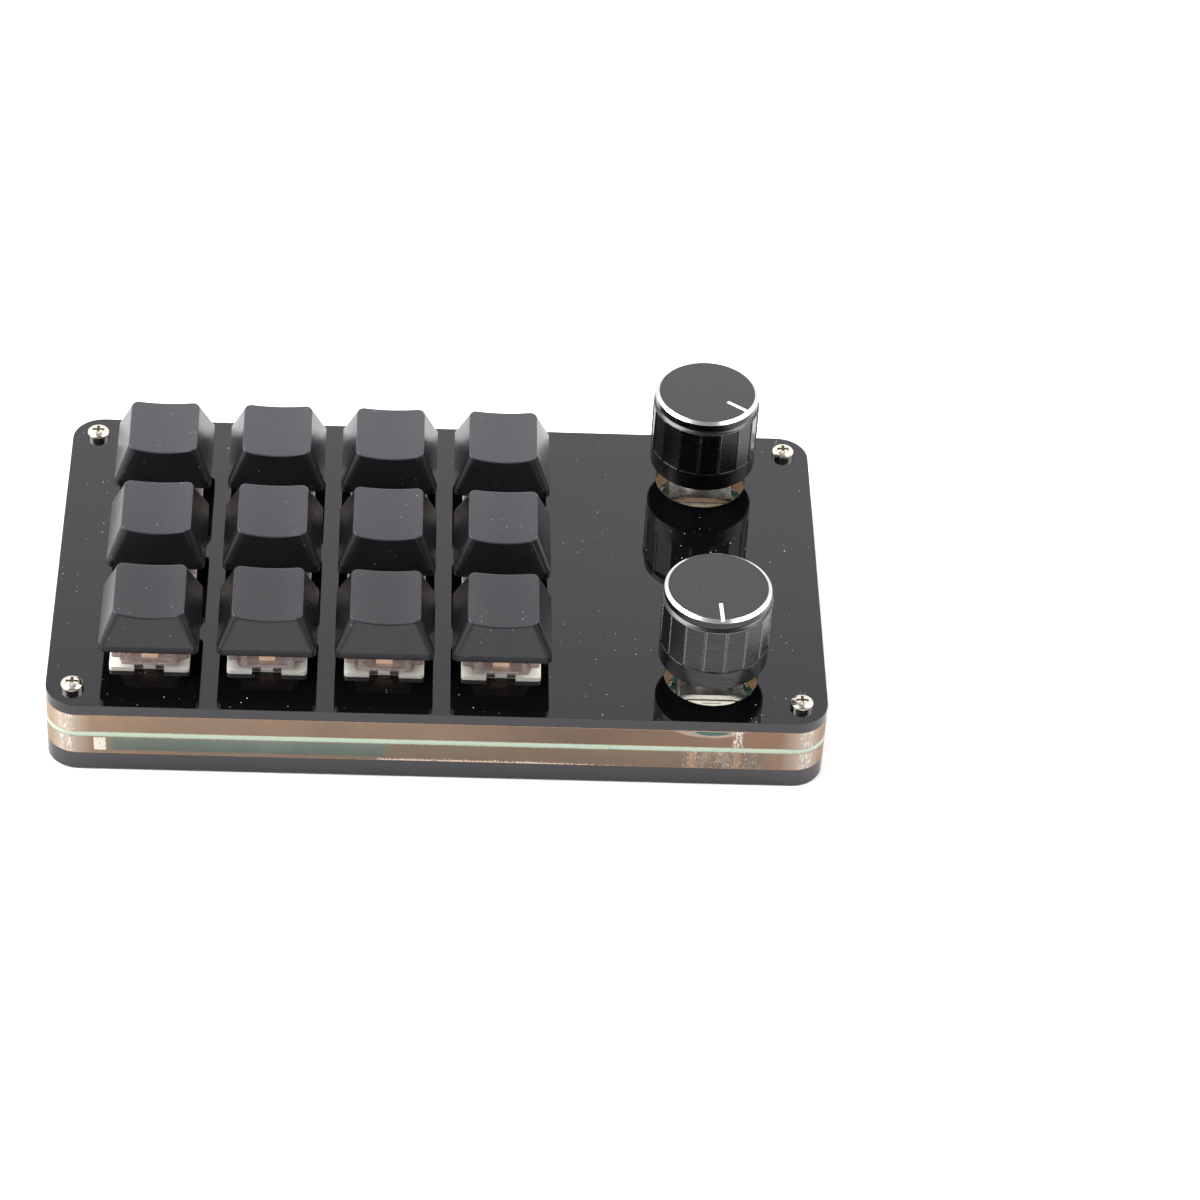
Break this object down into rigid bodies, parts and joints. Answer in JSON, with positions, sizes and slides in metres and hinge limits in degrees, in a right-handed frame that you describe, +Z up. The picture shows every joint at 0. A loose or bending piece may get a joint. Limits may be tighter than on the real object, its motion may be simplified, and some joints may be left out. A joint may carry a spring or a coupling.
{
  "type": "macro keypad",
  "caption": "Desk macro keypad: black acrylic sandwich case with rows of sprung keycaps and two rotary push knobs on encoders at one end.",
  "frame": {"origin": "middle of the underside, on the surface that the keypad stands on", "axes": "+X along the long side towards the knobs, +Y to the rear edge with the USB socket, +Z up"},
  "size_m": [0.1524, 0.0888, 0.0389],
  "materials": {
    "black_acrylic": "polished laser-cut acrylic",
    "clear_acrylic": "clear laser-cut acrylic",
    "masking_paper": "kraft masking paper",
    "circuit_board_green": "green solder mask, pale glass-fibre edge",
    "keycap_plastic": "fine-grained ABS",
    "housing_plastic": "cream nylon",
    "cover_plastic": "smoky clear polycarbonate",
    "stem_plastic": "brown POM",
    "spring_steel": "bright spring wire",
    "contact_metal": "copper alloy",
    "nickel_steel": "nickel-plated",
    "insert_brass": "turned brass",
    "encoder_plastic": "moulded phenolic",
    "bracket_steel": "tinned steel",
    "rotor_plastic": "moulded POM",
    "shaft_metal": "turned aluminium",
    "knob_aluminium": "black anodised, bright-cut ring",
    "set_screw_steel": "black-oxide steel",
    "socket_steel": "stainless shell",
    "component_epoxy": "moulded epoxy"
  },
  "bodies": {
    "chassis": {"bottom_plate": "black_acrylic", "top_plate": "black_acrylic", "lower_spacer": "clear_acrylic", "upper_spacer": "clear_acrylic", "spacer_papers": "masking_paper", "circuit_board": "circuit_board_green", "corner_screws": "nickel_steel", "threaded_inserts": "insert_brass", "switch_bases": "housing_plastic", "switch_covers": "cover_plastic", "switch_contacts": "contact_metal", "encoder_bodies": "encoder_plastic", "encoder_brackets": "bracket_steel", "encoder_terminals": "bracket_steel", "usb_socket": "socket_steel", "board_components": "component_epoxy", "key_spring_1": "spring_steel", "key_spring_2": "spring_steel", "key_spring_3": "spring_steel", "key_spring_4": "spring_steel", "key_spring_5": "spring_steel", "key_spring_6": "spring_steel", "key_spring_7": "spring_steel", "key_spring_8": "spring_steel", "key_spring_9": "spring_steel", "key_spring_10": "spring_steel", "key_spring_11": "spring_steel", "key_spring_12": "spring_steel"},
    "key_1": {"keycap_1": "keycap_plastic", "key_stem_1": "stem_plastic"},
    "key_2": {"keycap_2": "keycap_plastic", "key_stem_2": "stem_plastic"},
    "key_3": {"keycap_3": "keycap_plastic", "key_stem_3": "stem_plastic"},
    "key_4": {"keycap_4": "keycap_plastic", "key_stem_4": "stem_plastic"},
    "key_5": {"keycap_5": "keycap_plastic", "key_stem_5": "stem_plastic"},
    "key_6": {"keycap_6": "keycap_plastic", "key_stem_6": "stem_plastic"},
    "key_7": {"keycap_7": "keycap_plastic", "key_stem_7": "stem_plastic"},
    "key_8": {"keycap_8": "keycap_plastic", "key_stem_8": "stem_plastic"},
    "key_9": {"keycap_9": "keycap_plastic", "key_stem_9": "stem_plastic"},
    "key_10": {"keycap_10": "keycap_plastic", "key_stem_10": "stem_plastic"},
    "key_11": {"keycap_11": "keycap_plastic", "key_stem_11": "stem_plastic"},
    "key_12": {"keycap_12": "keycap_plastic", "key_stem_12": "stem_plastic"},
    "rotor_back": {"encoder_rotor_back": "rotor_plastic"},
    "knob_set_back": {"knob_back": "knob_aluminium", "encoder_shaft_back": "shaft_metal", "knob_set_screw_back": "set_screw_steel"},
    "rotor_front": {"encoder_rotor_front": "rotor_plastic"},
    "knob_set_front": {"knob_front": "knob_aluminium", "encoder_shaft_front": "shaft_metal", "knob_set_screw_front": "set_screw_steel"}
  },
  "joints": [
    {"name": "key_1_press", "type": "slide", "parent": "chassis", "child": "key_1", "axis": [0, 0, -1], "range_m": [0, 0.004], "stiffness_N_per_m": 75, "springref_m": -0.004, "deforming": ["key_spring_1"]},
    {"name": "key_2_press", "type": "slide", "parent": "chassis", "child": "key_2", "axis": [0, 0, -1], "range_m": [0, 0.004], "stiffness_N_per_m": 75, "springref_m": -0.004, "deforming": ["key_spring_2"]},
    {"name": "key_3_press", "type": "slide", "parent": "chassis", "child": "key_3", "axis": [0, 0, -1], "range_m": [0, 0.004], "stiffness_N_per_m": 75, "springref_m": -0.004, "deforming": ["key_spring_3"]},
    {"name": "key_4_press", "type": "slide", "parent": "chassis", "child": "key_4", "axis": [0, 0, -1], "range_m": [0, 0.004], "stiffness_N_per_m": 75, "springref_m": -0.004, "deforming": ["key_spring_4"]},
    {"name": "key_5_press", "type": "slide", "parent": "chassis", "child": "key_5", "axis": [0, 0, -1], "range_m": [0, 0.004], "stiffness_N_per_m": 75, "springref_m": -0.004, "deforming": ["key_spring_5"]},
    {"name": "key_6_press", "type": "slide", "parent": "chassis", "child": "key_6", "axis": [0, 0, -1], "range_m": [0, 0.004], "stiffness_N_per_m": 75, "springref_m": -0.004, "deforming": ["key_spring_6"]},
    {"name": "key_7_press", "type": "slide", "parent": "chassis", "child": "key_7", "axis": [0, 0, -1], "range_m": [0, 0.004], "stiffness_N_per_m": 75, "springref_m": -0.004, "deforming": ["key_spring_7"]},
    {"name": "key_8_press", "type": "slide", "parent": "chassis", "child": "key_8", "axis": [0, 0, -1], "range_m": [0, 0.004], "stiffness_N_per_m": 75, "springref_m": -0.004, "deforming": ["key_spring_8"]},
    {"name": "key_9_press", "type": "slide", "parent": "chassis", "child": "key_9", "axis": [0, 0, -1], "range_m": [0, 0.004], "stiffness_N_per_m": 75, "springref_m": -0.004, "deforming": ["key_spring_9"]},
    {"name": "key_10_press", "type": "slide", "parent": "chassis", "child": "key_10", "axis": [0, 0, -1], "range_m": [0, 0.004], "stiffness_N_per_m": 75, "springref_m": -0.004, "deforming": ["key_spring_10"]},
    {"name": "key_11_press", "type": "slide", "parent": "chassis", "child": "key_11", "axis": [0, 0, -1], "range_m": [0, 0.004], "stiffness_N_per_m": 75, "springref_m": -0.004, "deforming": ["key_spring_11"]},
    {"name": "key_12_press", "type": "slide", "parent": "chassis", "child": "key_12", "axis": [0, 0, -1], "range_m": [0, 0.004], "stiffness_N_per_m": 75, "springref_m": -0.004, "deforming": ["key_spring_12"]},
    {"name": "knob_back_turn", "type": "hinge", "parent": "chassis", "child": "rotor_back", "pos_m": [0.0535, 0.0304, 0.0215], "axis": [0, 0, 1], "continuous": true},
    {"name": "knob_back_push", "type": "slide", "parent": "rotor_back", "child": "knob_set_back", "axis": [0, 0, -1], "range_m": [0, 0.0005], "stiffness_N_per_m": 1500, "springref_m": -0.002},
    {"name": "knob_front_turn", "type": "hinge", "parent": "chassis", "child": "rotor_front", "pos_m": [0.0535, -0.0304, 0.0215], "axis": [0, 0, 1], "continuous": true},
    {"name": "knob_front_push", "type": "slide", "parent": "rotor_front", "child": "knob_set_front", "axis": [0, 0, -1], "range_m": [0, 0.0005], "stiffness_N_per_m": 1500, "springref_m": -0.002}
  ]
}
